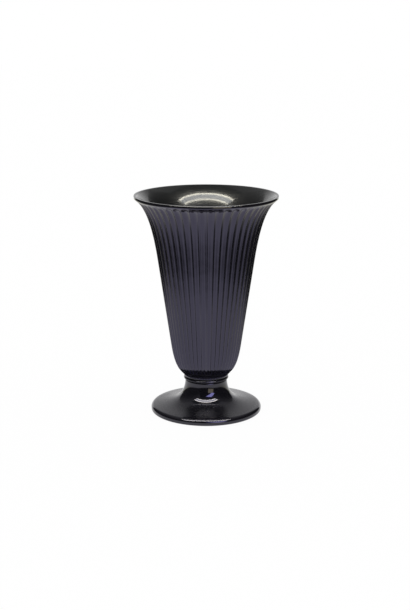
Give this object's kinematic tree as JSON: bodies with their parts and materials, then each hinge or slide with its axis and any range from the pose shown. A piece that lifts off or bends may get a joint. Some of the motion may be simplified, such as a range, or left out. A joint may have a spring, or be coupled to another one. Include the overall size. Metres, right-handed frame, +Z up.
{
  "type": "bell vase",
  "caption": "Free-standing flower vase: a flared, fluted bell on a turned trumpet foot, with a narrow ring at the collar and a screw on the axis that clamps them together.",
  "frame": {"origin": "middle of the felt pad's underside, which is the face that the vase rests on", "axes": "+Z up along the vase's axis from the pad to the mouth; a ridge between two flutes lies on +X, and X and Y are otherwise alike"},
  "size_m": [0.1294, 0.1294, 0.2],
  "materials": {
    "black_plastic": "gloss",
    "screw_steel": "satin",
    "seal_rubber": "matte",
    "pad_felt": "matte"
  },
  "bodies": {
    "root": {"bell": "black_plastic", "collar_ring": "black_plastic", "foot": "black_plastic", "clamp_screw": "screw_steel", "screw_washer": "screw_steel", "foot_washer": "screw_steel", "spring_washer": "screw_steel", "clamp_nut": "screw_steel", "screw_seal": "seal_rubber", "base_pad": "pad_felt"}
  },
  "joints": []
}
